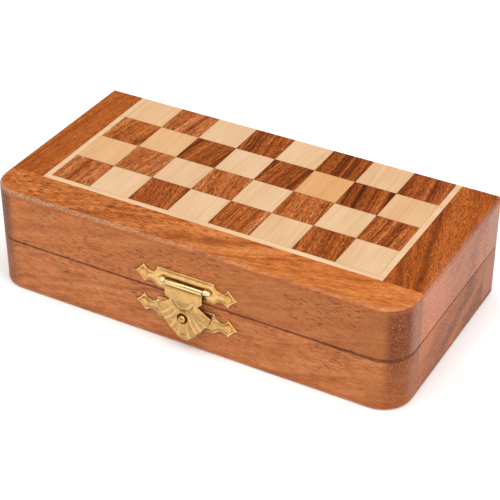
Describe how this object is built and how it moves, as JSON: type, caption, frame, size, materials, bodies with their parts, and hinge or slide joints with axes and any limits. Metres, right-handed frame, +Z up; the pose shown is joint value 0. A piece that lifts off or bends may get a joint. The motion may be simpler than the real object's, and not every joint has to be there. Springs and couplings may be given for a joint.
{
  "type": "folding chess box",
  "caption": "Wooden chess box of two equal trays hinged at the back, checkered board faces inlaid outside, slotted velvet insert inside, brass shell hasp in front.",
  "frame": {"origin": "centre of the box's flat underside, with the box closed", "axes": "+X along the length to the right, +Y towards the hinges at the back, +Z up; the clasp faces -Y"},
  "size_m": [0.178, 0.096, 0.0453],
  "materials": {
    "rail_wood": "rosewood (sheesham) heartwood under satin lacquer",
    "dark_wood": "dark streaked rosewood, satin lacquer",
    "light_wood": "pale maple, satin lacquer",
    "stringing_wood": "pale maple strip, satin lacquer",
    "plywood": "plain birch plywood",
    "steel": "thin mild steel sheet",
    "velvet": "dark green short-pile velvet",
    "brass": "stamped and lacquered brass"
  },
  "bodies": {
    "base": {"base_back_rail": "rail_wood", "base_core_panel": "plywood", "base_cross_dividers": "velvet", "base_dark_squares": "dark_wood", "base_floor_lining": "velvet", "base_front_rail": "rail_wood", "base_hinge_screws": "brass", "base_insert_rim": "velvet", "base_left_rail": "rail_wood", "base_light_squares": "light_wood", "base_long_divider": "velvet", "base_right_rail": "rail_wood", "base_steel_sheet": "steel", "base_stringing": "stringing_wood", "catch_nails": "brass", "catch_plate": "brass", "catch_stud": "brass", "left_hinge_base_leaf": "brass", "left_hinge_pin": "brass", "right_hinge_base_leaf": "brass", "right_hinge_pin": "brass"},
    "lid": {"hasp_nails": "brass", "hasp_pin": "brass", "hasp_plate": "brass", "left_hinge_lid_leaf": "brass", "lid_back_rail": "rail_wood", "lid_core_panel": "plywood", "lid_cross_dividers": "velvet", "lid_dark_squares": "dark_wood", "lid_floor_lining": "velvet", "lid_front_rail": "rail_wood", "lid_hinge_screws": "brass", "lid_insert_rim": "velvet", "lid_left_rail": "rail_wood", "lid_light_squares": "light_wood", "lid_long_divider": "velvet", "lid_right_rail": "rail_wood", "lid_steel_sheet": "steel", "lid_stringing": "stringing_wood", "right_hinge_lid_leaf": "brass"},
    "hasp": {"hasp_leaf": "brass"}
  },
  "joints": [
    {"name": "lid_hinge", "type": "hinge", "parent": "base", "child": "lid", "pos_m": [0, 0.04465, 0.02265], "axis": [-1, 0, 0], "range_deg": [0, 180]},
    {"name": "hasp_pivot", "type": "hinge", "parent": "lid", "child": "hasp", "pos_m": [0.0008, -0.04585, 0.02865], "axis": [-1, 0, 0], "range_deg": [0, 155]}
  ]
}
